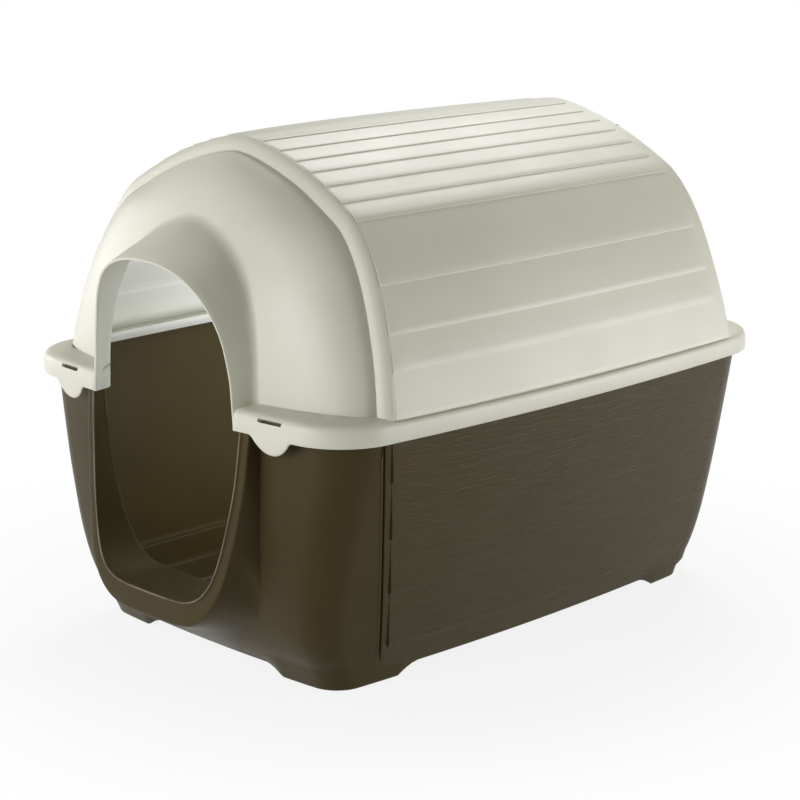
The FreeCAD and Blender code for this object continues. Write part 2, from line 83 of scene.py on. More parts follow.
def block(size, where, rounding=0, segments=3, turn=(0, 0, 0)):
    # a box with rounded edges, sized in millimetres
    deselect()
    bpy.ops.mesh.primitive_cube_add(size=1)
    box = context.object
    box.scale = [length / 1000 for length in size]
    bpy.ops.object.transform_apply(scale=True)
    if rounding:
        soften(box, rounding, segments)
    box.rotation_euler = turn
    box.location = where
    activate(box)
    bpy.ops.object.transform_apply(location=True, rotation=True)
    return box


def sheetOf(name, rows, weld=0.02, capEnds=False):
    # a grid primitive laid over rows of points; touching points are welded
    deselect()
    bpy.ops.mesh.primitive_grid_add(x_subdivisions=len(rows[0]) - 1, y_subdivisions=len(rows) - 1, size=1)
    piece = context.object
    flat = [value for row in rows for point in row for value in point]
    piece.data.vertices.foreach_set("co", flat)
    piece.data.update()
    bpy.ops.object.mode_set(mode="EDIT")
    bpy.ops.mesh.select_all(action="SELECT")
    bpy.ops.mesh.remove_doubles(threshold=weld / 1000)
    if capEnds:
        bpy.ops.mesh.select_all(action="DESELECT")
        bpy.ops.mesh.select_mode(type="EDGE")
        bpy.ops.mesh.select_non_manifold(extend=False, use_wire=False, use_multi_face=False,
                                         use_non_contiguous=False, use_verts=False)
        bpy.ops.mesh.edge_face_add()
        bpy.ops.mesh.select_mode(type="VERT")
    bpy.ops.mesh.select_all(action="SELECT")
    bpy.ops.mesh.normals_make_consistent(inside=False)
    bpy.ops.object.mode_set(mode="OBJECT")
    return settle(piece, name)


def smooth(piece, angle=35):
    activate(piece)
    bpy.ops.object.shade_smooth_by_angle(angle=math.radians(angle))
    return piece


def carve(piece, cutter, operation="DIFFERENCE"):
    modify(piece, "BOOLEAN", object=cutter, operation=operation, solver="EXACT")
    bpy.data.objects.remove(cutter)


def join(pieces, name):
    deselect()
    for piece in pieces:
        piece.select_set(True)
    context.view_layer.objects.active = pieces[0]
    bpy.ops.object.join()
    return settle(context.object, name)


def finish(piece, body, material, nodes, second=None, isSecond=None):
    # gives the piece its finish; faces that pass isSecond get a second one
    piece.data.materials.clear()
    piece.data.materials.append(material)
    if second:
        piece.data.materials.append(second)
        for face in piece.data.polygons:
            face.material_index = 1 if isSecond(face) else 0
    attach(piece, body)
    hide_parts(*nodes)
    print("made", piece.name, len(piece.data.polygons))


# Curves through measured points

def curveThrough(points):
    # smooth curve through (key, value) points that never overshoots them
    points = sorted(points)
    keys = [point[0] for point in points]
    values = [point[1] for point in points]
    slopes = [(values[i + 1] - values[i]) / (keys[i + 1] - keys[i]) for i in range(len(keys) - 1)]
    tangents = [slopes[0]]
    for before, after in zip(slopes, slopes[1:]):
        tangents.append(0 if before * after <= 0 else 2 * before * after / (before + after))
    tangents.append(slopes[-1])

    def at(key):
        key = min(max(key, keys[0]), keys[-1])
        i = max(j for j in range(len(keys) - 1) if keys[j] <= key)
        span = keys[i + 1] - keys[i]
        t = (key - keys[i]) / span
        return (values[i] * (1 + 2 * t) * (1 - t) ** 2 + span * tangents[i] * t * (1 - t) ** 2
                + values[i + 1] * t * t * (3 - 2 * t) + span * tangents[i + 1] * t * t * (t - 1))
    return at


def along(points, count):
    # points of any dimension, spread evenly on a smooth curve through them
    lengths = [0]
    for a, b in zip(points, points[1:]):
        lengths.append(lengths[-1] + math.dist(a, b))
    curves = [curveThrough([(length, point[axis]) for length, point in zip(lengths, points)])
              for axis in range(len(points[0]))]
    total = lengths[-1]
    return [tuple(curve(total * step / (count - 1)) for curve in curves) for step in range(count)]


def flowing(points, count, evenStart=False, evenEnd=False):
    # an even run of points on a smooth curve that is steered by the given ones;
    # an even end lies on the middle plane and runs straight across it
    dense = []
    stepsPerSpan = 24
    guide = list(points)
    if evenStart:
        guide = [(-points[1][0],) + tuple(points[1][1:])] + guide
    else:
        guide = [points[0], points[0]] + guide
    if evenEnd:
        guide = guide + [(-points[-2][0],) + tuple(points[-2][1:])]
    else:
        guide = guide + [points[-1], points[-1]]
    for a, b, c, d in zip(guide, guide[1:], guide[2:], guide[3:]):
        for step in range(stepsPerSpan):
            t = step / stepsPerSpan
            weights = ((1 - t) ** 3 / 6, (3 * t ** 3 - 6 * t * t + 4) / 6,
                       (-3 * t ** 3 + 3 * t * t + 3 * t + 1) / 6, t ** 3 / 6)
            dense.append(tuple(sum(w * q[axis] for w, q in zip(weights, (a, b, c, d)))
                               for axis in range(len(a))))
    dense.append(tuple((a + 4 * b + c) / 6 for a, b, c in zip(guide[-3], guide[-2], guide[-1])))
    lengths = [0]
    for a, b in zip(dense, dense[1:]):
        lengths.append(lengths[-1] + math.dist(a, b))
    run = []
    index = 0
    for step in range(count):
        want = lengths[-1] * step / (count - 1)
        while index < len(lengths) - 2 and lengths[index + 1] < want:
            index += 1
        t = (want - lengths[index]) / max(lengths[index + 1] - lengths[index], 1e-9)
        run.append(tuple(mix(u, v, min(t, 1)) for u, v in zip(dense[index], dense[index + 1])))
    return run


def spread(low, high, count):
    return [low + (high - low) * step / (count - 1) for step in range(count)]


def mix(a, b, t):
    return a + (b - a) * t


def ease(t):
    t = min(max(t, 0), 1)
    return t * t * (3 - 2 * t)


# Outlines seen from above, with bowed sides and ends and round corners

bow = {"side": 4150, "end": 2400, "widest": 400}


def tangentCircle(side, sideRadius, end, endRadius, radius):
    a, b = sideRadius - radius, endRadius - radius
    dx, dy = end[0] - side[0], end[1] - side[1]
    apart = math.hypot(dx, dy)
    near = (a * a - b * b + apart * apart) / (2 * apart)
    off = math.sqrt(a * a - near * near)
    ux, uy = dx / apart, dy / apart
    return max((side[0] + ux * near - uy * off * turn, side[1] + uy * near + ux * off * turn)
               for turn in (-1, 1))


def halfOutline(half, front, rear, cornerFront, cornerRear, fronts, corners, sides, rears, inset=0):
    # right half, from the front middle to the rear middle, as (x, deep) points;
    # fronts and rears are x values, sides are deep values or a count
    sideRadius, endRadius = bow["side"] - inset, bow["end"] - inset
    side = (half - inset - sideRadius, bow["widest"])
    parts = []
    for middle, corner in ((front + inset + endRadius, cornerFront - inset),
                           (rear - inset - endRadius, cornerRear - inset)):
        centre = tangentCircle(side, sideRadius, (0, middle), endRadius, corner)
        onEnd = math.atan2(centre[1] - middle, centre[0])
        onSide = math.atan2(centre[1] - side[1], centre[0] - side[0])
        arc = [(centre[0] + corner * math.cos(angle), centre[1] + corner * math.sin(angle))
               for angle in spread(onEnd, onSide, corners + 2)[1:-1]]
        parts.append((middle, endRadius * math.cos(onEnd), arc, side[1] + sideRadius * math.sin(onSide)))
    (frontMiddle, frontReach, frontArc, low), (rearMiddle, rearReach, rearArc, high) = parts
    points = []
    for index, x in enumerate(fronts):
        x = min(x, frontReach - 0.01 * (len(fronts) - index))
        points.append((x, frontMiddle - math.sqrt(endRadius ** 2 - x * x)))
    points += frontArc
    if isinstance(sides, int):
        sides = spread(low, high, sides)
    for index, deep in enumerate(sides):
        deep = min(max(deep, low + 0.01 * index), high - 0.01 * (len(sides) - index))
        points.append((side[0] + math.sqrt(sideRadius ** 2 - (deep - side[1]) ** 2), deep))
    points += rearArc[::-1]
    for index, x in enumerate(rears):
        x = min(x, rearReach - 0.01 * (index + 1))
        points.append((x, rearMiddle + math.sqrt(endRadius ** 2 - x * x)))
    return points


# Materials

class Wire:
    # a node socket that can be used in plain arithmetic
    def __init__(self, recipe, socket):
        self.recipe, self.socket = recipe, socket

    def maths(self, operation, a, b):
        return self.recipe.add("Math", {"operation": operation}, {0: a, 1: b})[0]

    def __add__(self, other):
        return self.maths("ADD", self, other)

    def __mul__(self, other):
        return self.maths("MULTIPLY", self, other)


class Recipe:
    # the nodes of a new material, or of the world
    def __init__(self, name, world=None):
        self.material = world or bpy.data.materials.new(name)
        self.material.use_nodes = True
        self.tree = self.material.node_tree
        self.shader = self.tree.nodes.get("Principled BSDF")

    def add(self, kind, settings, sockets):
        node = self.tree.nodes.new("ShaderNode" + kind)
        for key, value in settings.items():
            if key == "stops":
                ramp = node.color_ramp.elements
                while len(ramp) < len(value):
                    ramp.new(0.5)
                for element, (position, shade) in zip(ramp, value):
                    element.position = position
                    element.color = (shade, shade, shade, 1)
            else:
                setattr(node, key, value)
        for key, value in sockets.items():
            self.feed(node.inputs[key], value)
        return [Wire(self, output) for output in node.outputs]

    def feed(self, socket, value):
        if isinstance(value, Wire):
            self.tree.links.new(value.socket, socket)
        else:
            socket.default_value = value

    def set(self, **values):
        for key, value in values.items():
            self.feed(self.shader.inputs[key.replace("_", " ")], value)

    def coordinates(self):
        return self.add("TexCoord", {}, {})[3]

    def stretched(self, scale):
        return self.add("Mapping", {}, {"Vector": self.coordinates(), "Scale": scale})[0]

    def noise(self, scale, detail=2.0, roughness=0.5, vector=None):
        return self.add("TexNoise", {}, {"Vector": vector or self.coordinates(), "Scale": scale,
                                         "Detail": detail, "Roughness": roughness})[0]

    def ramp(self, value, stops):
        return self.add("ValToRGB", {"stops": stops}, {0: value})[0]

    def blend(self, factor, dark, light):
        return self.add("Mix", {"data_type": "RGBA"}, {0: factor, 6: dark, 7: light})[2]

    def edges(self, start, full):
        # 1 along sharp outward edges
        pointed = self.add("NewGeometry", {}, {})[7]
        return self.ramp(pointed, [(start, 0), (full, 1)])

    def bump(self, height, strength, distance):
        return self.add("Bump", {}, {"Height": height, "Strength": strength, "Distance": distance})[0]


# stops of the ramps that turn noise into tone and sheen
toneStops = [(0.35, 0), (0.65, 1)]
grainStops = [(0.36, 0), (0.62, 1)]
sheenStops = [(0.3, 0), (0.7, 1)]

# the edge colour of the roof is a painted highlight laid on its sharp edges
roofLook = {"dark": (0.600, 0.597, 0.515, 1), "light": (0.640, 0.636, 0.558, 1),
            "edge": (0.72, 0.715, 0.62, 1), "edgeStart": 0.53, "edgeFull": 0.60, "edgeShare": 0.8,
            "roughness": 0.42, "sheen": 0.06, "sheenScale": 9.0, "specular": 0.45, "clouds": 5.0,
            "speckle": 420, "bump": 0.35, "bumpDepth": 0.00006}
# the edge colour of the tub is a painted highlight laid on its sharp edges
baseLook = {"dark": (0.038, 0.0280, 0.0090, 1), "light": (0.048, 0.0365, 0.0130, 1),
            "edge": (0.26, 0.215, 0.15, 1), "edgeStart": 0.53, "edgeFull": 0.62, "edgeShare": 0.7,
            "roughness": 0.36, "sheen": 0.08, "sheenScale": 8.0, "specular": 0.2,
            "gloss": (1.0, 0.86, 0.60, 1), "clouds": 6.0, "fine": 500.0, "bump": 0.25, "bumpDepth": 0.0007}
# scales across and along the boards, and how strongly the streaks stand out
grain = {"streak": (260, 12, 260), "wave": (80, 5, 80), "bump": 0.9}
ventLook = {"dark": (0.010, 0.010, 0.010, 1), "light": (0.020, 0.020, 0.019, 1), "clouds": 12.0,
            "roughness": 0.36, "sheen": 0.12, "fine": 600.0, "bump": 0.3, "bumpDepth": 0.00008}
plugLook = {"dark": (0.014, 0.014, 0.014, 1), "light": (0.030, 0.029, 0.028, 1),
            "roughness": 0.6, "sheen": 0.15, "fine": 900.0, "bump": 0.5, "bumpDepth": 0.0001}


def setPlastic(recipe, look, tone, height, bump):
    # what roof and tub share: two close tones, a painted highlight on sharp edges, uneven sheen, a fine bump
    sheen = recipe.ramp(recipe.noise(look["sheenScale"], 4.0), sheenStops)
    plain = recipe.blend(tone, look["dark"], look["light"])
    # sharp edges take the paler edge colour, a painted highlight
    paintedHighlight = recipe.edges(look["edgeStart"], look["edgeFull"]) * look["edgeShare"]
    recipe.set(Base_Color=recipe.blend(paintedHighlight, plain, look["edge"]),
               Roughness=sheen * look["sheen"] + look["roughness"],
               Normal=recipe.bump(height, bump, look["bumpDepth"]))
    recipe.shader.inputs["Specular IOR Level"].default_value = look["specular"]
    return recipe.material


def setSmallPart(recipe, look, tone, fine):
    # two close tones, a sheen that follows them, and a fine bump
    recipe.set(Base_Color=recipe.blend(tone, look["dark"], look["light"]),
               Roughness=tone * look["sheen"] + look["roughness"],
               Normal=recipe.bump(fine, look["bump"], look["bumpDepth"]))
    return recipe.material


def roofPlastic():
    recipe = Recipe("roof_plastic")
    clouds = recipe.noise(roofLook["clouds"], 3.0)
    speckle = recipe.noise(roofLook["speckle"])
    tone = recipe.ramp(clouds * 0.8 + speckle * 0.2, toneStops)
    return setPlastic(recipe, roofLook, tone, speckle, roofLook["bump"])


def basePlastic(name, grained):
    # wood-like streaks run along the sides, on the boards only
    recipe = Recipe(name)
    clouds = recipe.noise(baseLook["clouds"], 3.0)
    fine = recipe.noise(baseLook["fine"])
    recipe.shader.inputs["Specular Tint"].default_value = baseLook["gloss"]
    if not grained:
        tone = recipe.ramp(clouds * 0.75 + fine * 0.25, toneStops)
        return setPlastic(recipe, baseLook, tone, fine * 0.35, baseLook["bump"])
    streak = recipe.noise(1.0, 4.0, 0.6, recipe.stretched(grain["streak"]))
    wave = recipe.noise(1.0, 3.0, 0.55, recipe.stretched(grain["wave"]))
    height = recipe.ramp(streak, toneStops) * 0.7 + wave * 0.6
    tone = recipe.ramp(streak * 0.45 + clouds * 0.4 + fine * 0.15, grainStops)
    return setPlastic(recipe, baseLook, tone, height, grain["bump"])


def ventPlastic():
    recipe = Recipe("vent_plastic")
    clouds = recipe.noise(ventLook["clouds"], 3.0)
    return setSmallPart(recipe, ventLook, clouds, recipe.noise(ventLook["fine"]))


def plugRubber():
    recipe = Recipe("plug_rubber")
    fine = recipe.noise(plugLook["fine"], 3.0)
    return setSmallPart(recipe, plugLook, fine, fine)


roofMaterial = roofPlastic()
smoothBase = basePlastic("base_plastic_smooth", False)
grainedBase = basePlastic("base_plastic_grained", True)
ventMaterial = ventPlastic()
plugMaterial = plugRubber()
print("materials ready")


# Roof rim: a hollow skirt with finger tabs and latch slots at the front

rim = {"half": 350, "front": -4.7, "rear": 910, "cornerFront": 91, "cornerRear": 95, "gate": 148.5,
       "frontEnd": 60, "under": 360, "endDepth": 29, "endFlare": 0.35,
       "tabAcross": 213, "tabHalf": 33, "tabDrop": 22.5, "tabRun": 37, "tabTop": 376, "tabFade": 16,
       "tabLean": 0.12, "dipFrom": 104, "dipTo": 802, "dipFade": 14, "edgeRound": 0.7}
slot = {"across": 212, "deep": 9.5, "height": 380, "long": 42, "through": 18, "high": 5.5, "round": 2.2,
        "tilt": 38, "turn": 5}

# the rim's section as (inset, height), from inside the skirt, under it and up over the shoulder
rimSection = [(20, 377), (5.5, 376), (4.2, 374), (3.9, 368), (3.7, 361.5), (3.2, 360.4), (2.2, 360),
              (1.2, 360.2), (0.4, 361), (0, 362.2), (0, 368), (0.2, 374), (0.7, 379), (1.5, 382.6),
              (2.8, 385.4), (4.8, 387.4), (7.2, 388.8), (9.8, 389.5), (10.8, 389.8), (12, 390.1),
              (16, 390.6), (24, 391.6), (34, 393), (41, 394), (41, 388), (34, 379)]

# along the sides the rim's top dips under the vault's edge, by inset
rimDip = curveThrough([(0, 0), (1.5, 0.1), (4.8, 1.4), (7.2, 3.2), (10, 3.9), (11, 2.0), (13, -1.6), (24, 0),
                       (41, 0)])


def tabReach(x):
    # how far a finger tab hangs below the rim at x, with a small fillet at each side
    u = abs(abs(x) - rim["tabAcross"]) / rim["tabHalf"]
    drop = (1 - u * u) ** 0.78 if u < 1 else 0
    fillet = 0.12 * math.exp(-((u - 0.985) / 0.07) ** 2)
    return rim["tabDrop"] * max(drop, fillet)


def rimPoint(x, deep, inset, z):
    # a point of the rim, with the tabs hanging from it and its ends cut off at the doorway
    onFront = deep < rim["frontEnd"]
    if onFront:
        outer = rim["front"] + bow["end"] - math.sqrt(bow["end"] ** 2 - x * x)
        deep = min(deep, outer + rim["endDepth"] + max(0, abs(x) - rim["gate"]) * rim["endFlare"])
    height = z
    if onFront and z < rim["tabTop"] and inset < 5:
        height -= tabReach(x) * min(max((rim["tabTop"] - z) / rim["tabFade"], 0), 1)
    if z > 380 and inset < 30:
        height -= (rimDip(inset) * ease((deep - rim["dipFrom"]) / rim["dipFade"])
                   * ease((rim["dipTo"] - deep) / rim["dipFade"]))
    lean = max(0, rim["under"] - height) * rim["tabLean"]
    return place(x, deep + lean, height)


def makeRim():
    tabXs = [rim["tabAcross"] + rim["tabRun"] * math.cos(math.pi * (1 - step / 34)) for step in range(35)]
    fronts = [rim["gate"], 155, 162, 168, 172] + tabXs
    loops = []
    for inset, z in rimSection:
        half = halfOutline(rim["half"], rim["front"], rim["rear"], rim["cornerFront"], rim["cornerRear"],
                           fronts, 16, 48, spread(236, 0, 24), inset)
        loop = half[:-1] + [(-x, deep) for x, deep in reversed(half)]
        loops.append([rimPoint(x, deep, inset, z) for x, deep in loop])
    loops.append(loops[0])
    piece = sheetOf("roof_rim", loops, capEnds=True)
    for side in (-1, 1):
        carve(piece, block((slot["long"], slot["through"], slot["high"]),
                           place(slot["across"] * side, slot["deep"], slot["height"]), slot["round"], 4,
                           (math.radians(-slot["tilt"]), 0, math.radians(slot["turn"] * side))))
    soften(piece, rim["edgeRound"], angle=50)
    return smooth(piece, 40)


finish(makeRim(), "roof", roofMaterial, ["roof_shell"])


# Vault: a barrel of lapped boards between two slanted end bands

vault = {"rearLine": 768, "front": 109, "rear": 790, "lean": 0.13, "leanFrom": 387, "bow": 9.5,
         "bowFrom": 30, "crown": 3, "fullest": 400, "taper": 5.0, "taperHalf": 334, "proud": 1.9,
         "upperProud": 0.15, "lastProud": 1.0, "seat": 0.2, "bandIn": 20, "bandRun": 11.5, "wall": 3.5}
vaultArch = [(0, 714), (26, 711.5), (46, 707), (71, 700.5), (105, 690), (139, 677), (171, 661.5),
             (205, 642.5), (230, 629), (260, 594), (284, 553), (306, 499), (323, 446), (334.5, 388.5)]
# half widths at which the boards' lower edges lie
boardEdges = [24, 38, 74, 106, 137, 168, 201, 231, 284, 308, 322]
# how a board's lower edge is rounded: (distance above the edge, proudness lost)
boardRound = [(0.9, 0.05), (0.25, 0.25), (0, 0.65)]
# how the end bands curve down from the boards: shares of the band's depth and of its run
bandCurve = [(0.7, 0.95), (0.47, 0.78), (0.27, 0.56), (0.13, 0.34), (0.045, 0.16)]


def archSamples():
    # fine samples of the arch with outward normals: (x, z, normal x, normal z)
    smoothArch = flowing(vaultArch, 600, evenStart=True)
    samples = []
    for index, (x, z) in enumerate(smoothArch):
        a = smoothArch[max(index - 1, 0)]
        b = smoothArch[min(index + 1, len(smoothArch) - 1)]
        length = math.hypot(b[0] - a[0], b[1] - a[1])
        samples.append((x, z, -(b[1] - a[1]) / length, (b[0] - a[0]) / length))
    samples[0] = (samples[0][0], samples[0][1], 0.0, 1.0)
    return samples


arch = archSamples()


def archIndex(x):
    return min(range(len(arch)), key=lambda i: abs(arch[i][0] - x))


def boardProfile():
    # (x, z, normal x, normal z, proudness) down the right half of the arch
    profile = []
    edges = [0] + boardEdges + [vaultArch[-1][0]]
    final = len(edges) - 2
    for number, (upper, lower) in enumerate(zip(edges, edges[1:])):
        first = archIndex(upper)
        last = archIndex(lower) if number < final else len(arch) - 1
        steps = 4 if last - first < 60 else 8
        low = vault["lastProud"] if number == final else vault["proud"]
        for step in range(steps + 1):
            index = round(mix(first, last, step / steps))
            if step == 0 and number:
                index = min(index + 2, len(arch) - 1)
            x, z, nx, nz = arch[index]
            proud = mix(vault["upperProud"], low, step / steps) if number else 0.0
            if step == steps and 0 < number < final:
                # round the lower edge, then turn under it
                for above, lost in boardRound:
                    profile.append((x - nz * above, z + nx * above, nx, nz, proud - lost))
                profile.append((x, z, nx, nz, vault["seat"]))
            else:
                profile.append((x, z, nx, nz, proud))
    return profile


rearEdge = curveThrough([(392, 797), (500, 788), (555, 786), (630, 782), (714, 773)])


def frontEdge(z):
    return vault["front"] + vault["lean"] * (z - vault["leanFrom"])


def vaultRow(profile, share, proudness, inset=0, shift=0):
    # one row across the whole arch at a share of the way from front to rear
    right = []
    fullest = vault["fullest"]
    for x, z, nx, nz, proud in profile:
        out = proud * proudness - inset
        front, rear = frontEdge(z), rearEdge(z)
        deep = mix(front, rear, share)
        reach = fullest - front if deep < fullest else rear - fullest
        swell = max(1 - ((deep - fullest) / reach) ** 2, 0)
        across = x + nx * out + vault["bow"] * swell * min(1, x / vault["bowFrom"])
        behind = max(0, (deep - fullest) / (vault["rear"] - fullest))
        across -= vault["taper"] * behind * x / vault["taperHalf"]
        right.append((across, deep + shift, z + nz * out + vault["crown"] * swell * max(0, nz)))
    return [place(-x, deep, z) for x, deep, z in reversed(right)] + [place(*point) for point in right[1:]]


def bandRows(profile, share, side):
    # rows of an end band, from the lip hidden under the rounded end out to the boards;
    # side is -1 at the front and 1 at the rear
    bandIn, bandRun = vault["bandIn"], vault["bandRun"]
    steps = [(bandIn + 7, bandRun - 6), (bandIn + 1, bandRun - 1.6), (bandIn - 0.2, bandRun),
             (bandIn - 2, bandRun + 0.5)]
    steps += [(bandIn * depth, bandRun * reach) for depth, reach in bandCurve] + [(0.1, 0)]
    return [vaultRow(profile, share, 0, inset, run * side) for inset, run in steps]


def makeVault():
    profile = boardProfile()
    rearShare = (vault["rearLine"] - vault["front"]) / (vault["rear"] - vault["front"])
    rows = bandRows(profile, 0, -1)
    for proudness, shift in ((0, 1.2), (0, 2.4), (0.9, 2.7), (1, 3.4)):
        rows.append(vaultRow(profile, 0, proudness, 0, shift))
    for share in spread(0.03, rearShare - 0.006, 26) + [rearShare - 0.0006]:
        rows.append(vaultRow(profile, share, 1))
    rows.append(vaultRow(profile, rearShare, 0.9))
    rows.append(vaultRow(profile, rearShare + 0.0004, 0))
    rows.append(vaultRow(profile, 1, 0, 0, -1.5))
    rows += reversed(bandRows(profile, 1, 1))
    piece = sheetOf("roof_vault", rows)
    modify(piece, "SOLIDIFY", thickness=vault["wall"] / 1000, offset=-1, use_even_offset=False)
    return smooth(piece, 28)


finish(makeVault(), "roof", roofMaterial, ["roof_shell"])


# Front of the roof: a rounded end with the hood grown out of it

def insetArch():
    # half width of the front end at a height, from the vault's arch set in by the band
    run = [(z - nz * vault["bandIn"], max(x - nx * vault["bandIn"], 0)) for x, z, nx, nz in arch]
    heights = []
    for z, x in run:
        if not heights or z < heights[-1][0] - 0.05:
            heights.append((z, x))
    # carried on a little below the arch's foot
    heights.append((heights[-1][0] - 40, heights[-1][1] + 5))
    top, foot = heights[0][0], heights[-1][0]
    table = []
    index = 0
    for step in range(int(top - foot)):
        z = top - step
        while heights[index + 1][0] > z:
            index += 1
        (high, a), (low, b) = heights[index], heights[index + 1]
        table.append(mix(a, b, (high - z) / (high - low)))
    table.append(table[-1])

    def at(z):
        down = min(max(top - z, 0), len(table) - 2)
        return mix(table[int(down)], table[int(down) + 1], down - int(down))
    return at


domeHalf = insetArch()
dome = {"foot": 392, "top": 694.3, "apex": 140, "reach": 112, "behind": 3, "fullFoot": 2.6,
        "fullTop": 2.2, "wall": 3.5, "edgeRound": 0.8}
hood = {"columns": 110, "steps": 9, "swell": 1.2, "middle": 420, "fillet": 13.0}


def domeField(x, deep, z):
    # below 1 inside the front end, above 1 outside it
    rise = min(max((z - dome["foot"]) / (dome["top"] - dome["foot"]), 0), 1)
    if z > dome["top"]:
        return 2 + z - dome["top"]
    full = mix(dome["fullFoot"], dome["fullTop"], rise)
    back = frontEdge(z) + dome["behind"]
    nose = dome["apex"] - dome["reach"] * math.sqrt(max(0, 1 - rise * rise))
    half = max(domeHalf(z), 0.5)
    ahead = max(0, (back - deep) / max(back - nose, 0.5))
    return (abs(x) / half) ** full + ahead ** full


# a place inside the roof from which every part of the rounded end is seen
domeHeart = (0, 215, 395)


def onDome(ray):
    # where a ray from the heart leaves the rounded end
    near, far = 20, 700
    for _ in range(34):
        middle = (near + far) / 2
        if domeField(*[domeHeart[i] + ray[i] * middle for i in range(3)]) < 1:
            near = middle
        else:
            far = middle
    return Vector([domeHeart[i] + ray[i] * near for i in range(3)])


def rayTo(point):
    return Vector([point[i] - domeHeart[i] for i in range(3)]).normalized()


# hood outlines from the right foot to the top, as (x, deep, z)
hoodEdge = [(149.3, 0, 360), (149, 0, 372), (146.5, 0, 392), (145, 0, 420), (140, -2, 448),
            (134.5, -4.5, 476), (124, -10, 504), (105.5, -17, 532), (86, -21.5, 548), (61, -24.5, 560),
            (32, -26, 566), (0, -26.5, 568)]
hoodRoot = [(155.5, 33, 360), (155.5, 33, 375), (155, 33, 392), (154.5, 36, 436), (146, 41, 487),
            (129, 48, 535), (112, 51, 556), (93, 54, 575), (70, 57, 590), (45, 60, 601), (22, 62.4, 608),
            (0, 63, 613)]
domeEnd = [(318, 104, 383), (317, 104, 391), (305, 110, 437), (277, 122, 522), (255, 128, 574),
           (240, 131, 596), (199, 135, 627), (167, 138, 647), (131, 140, 667), (99, 142, 678),
           (72, 143, 687), (45, 143, 691.5), (20, 144, 694), (0, 144, 694.2)]


def mirrorRun(points):
    return points + [(-x, deep, z) for x, deep, z in reversed(points[:-1])]


def softCorner(before, corner, after, reach, count):
    # rounds a corner of a polyline with a small arc of points
    a = corner + (before - corner).normalized() * min(reach, (before - corner).length * 0.6)
    b = corner + (after - corner).normalized() * min(reach, (after - corner).length * 0.6)
    return [a * (1 - t) ** 2 + corner * 2 * t * (1 - t) + b * t * t
            for t in [step / (count - 1) for step in range(count)]]


def resample(points, count):
    return [Vector(point) for point in along([tuple(point) for point in points], count)]


def makeFront():
    edges, roots, ends = [mirrorRun(flowing(run, hood["columns"], evenEnd=True))
                          for run in (hoodEdge, hoodRoot, domeEnd)]
    reach = hood["fillet"]
    rows = []
    for edge, root, end in zip(edges, roots, ends):
        tunnel = []
        for step, t in enumerate(spread(0, 1, hood["steps"])):
            point = Vector(edge) + (Vector(root) - Vector(edge)) * t
            outward = Vector((point.x, 0, point.z - hood["middle"])).normalized()
            tunnel.append(point + outward * math.sin(math.pi * step / (hood["steps"] - 1)) * hood["swell"])
        a, b = rayTo(root), rayTo(end)
        skin = [onDome(a.lerp(b, t).normalized()) for t in [0, 0.03, 0.07, 0.12] + spread(0.18, 1, 24)]
        corner = skin[0]
        tunnel = [point for point in tunnel[:-1] if (point - corner).length > reach * 1.05]
        skin = [point for point in skin[1:] if (point - corner).length > reach * 1.05]
        fillet = softCorner(tunnel[-1], corner, skin[0], reach, 7)
        rows.append([place(*point) for point in resample(tunnel, 7) + fillet + resample(skin, 24)])
    piece = sheetOf("roof_front", rows)
    modify(piece, "SOLIDIFY", thickness=dome["wall"] / 1000, offset=-1, use_even_offset=True)
    soften(piece, dome["edgeRound"], angle=55)
    return smooth(piece, 45)


finish(makeFront(), "roof", roofMaterial, ["roof_shell"])


# Rear of the roof: the same rounding, with the ventilator's seat

rearDome = {"foot": 384, "apex": 782, "reach": 98, "startIn": 20, "setIn": 11, "fullFoot": 2.9,
            "edgeRound": 0.6}
vent = {"deep": 804, "height": 679, "tilt": 52, "width": 200, "length": 95, "thick": 4, "gap": 0.3,
        "frame": 12, "margin": 2, "proud": 3, "bossDeep": 40, "bossRound": 2, "cutDeep": 90, "cutHigh": 60}


def ventBlock(grow, low, high, rounding=0):
    # a block in the ventilator's own slanted frame, larger than its plate by grow
    tilt = math.radians(vent["tilt"])
    up = Vector((0, -math.cos(tilt), math.sin(tilt)))
    out = Vector((0, math.sin(tilt), math.cos(tilt)))
    middle = place(0, vent["deep"], vent["height"]) - up * vent["length"] / 2000 + out * (low + high) / 2000
    return block((vent["width"] + grow * 2, vent["length"] + grow * 2, high - low), middle, rounding, 4,
                 (math.pi - tilt, 0, 0))


def makeRear():
    rows = []
    for step in range(41):
        level = math.sin(math.pi / 2 * step / 40)
        z = mix(rearDome["foot"], dome["top"] - 0.6, level)
        rise = min(max((z - dome["foot"]) / (dome["top"] - dome["foot"]), 0), 1)
        full = mix(rearDome["fullFoot"], dome["fullTop"], rise)
        tail = rearDome["apex"] + rearDome["reach"] * math.sqrt(max(0, 1 - rise * rise))
        half = max(domeHalf(z) - rearDome["setIn"], 1)
        start = rearEdge(z) - rearDome["startIn"]
        row = []
        for angle in spread(-math.pi / 2, math.pi / 2, 91):
            across = math.copysign(abs(math.sin(angle)) ** (2 / full), angle)
            row.append(place(half * across, start + (tail - start) * abs(math.cos(angle)) ** (2 / full), z))
        rows.append(row)
    piece = sheetOf("roof_rear", rows)
    modify(piece, "SOLIDIFY", thickness=dome["wall"] / 1000, offset=-1)
    carve(piece, ventBlock(vent["margin"], -vent["bossDeep"], -vent["proud"], vent["bossRound"]), "UNION")
    carve(piece, ventBlock(vent["gap"], -vent["thick"], vent["cutHigh"]))
    carve(piece, ventBlock(-vent["frame"], -vent["cutDeep"], vent["cutHigh"]))
    soften(piece, rearDome["edgeRound"], angle=60)
    return smooth(piece, 40)


finish(makeRear(), "roof", roofMaterial, ["roof_shell"])


# Base tub

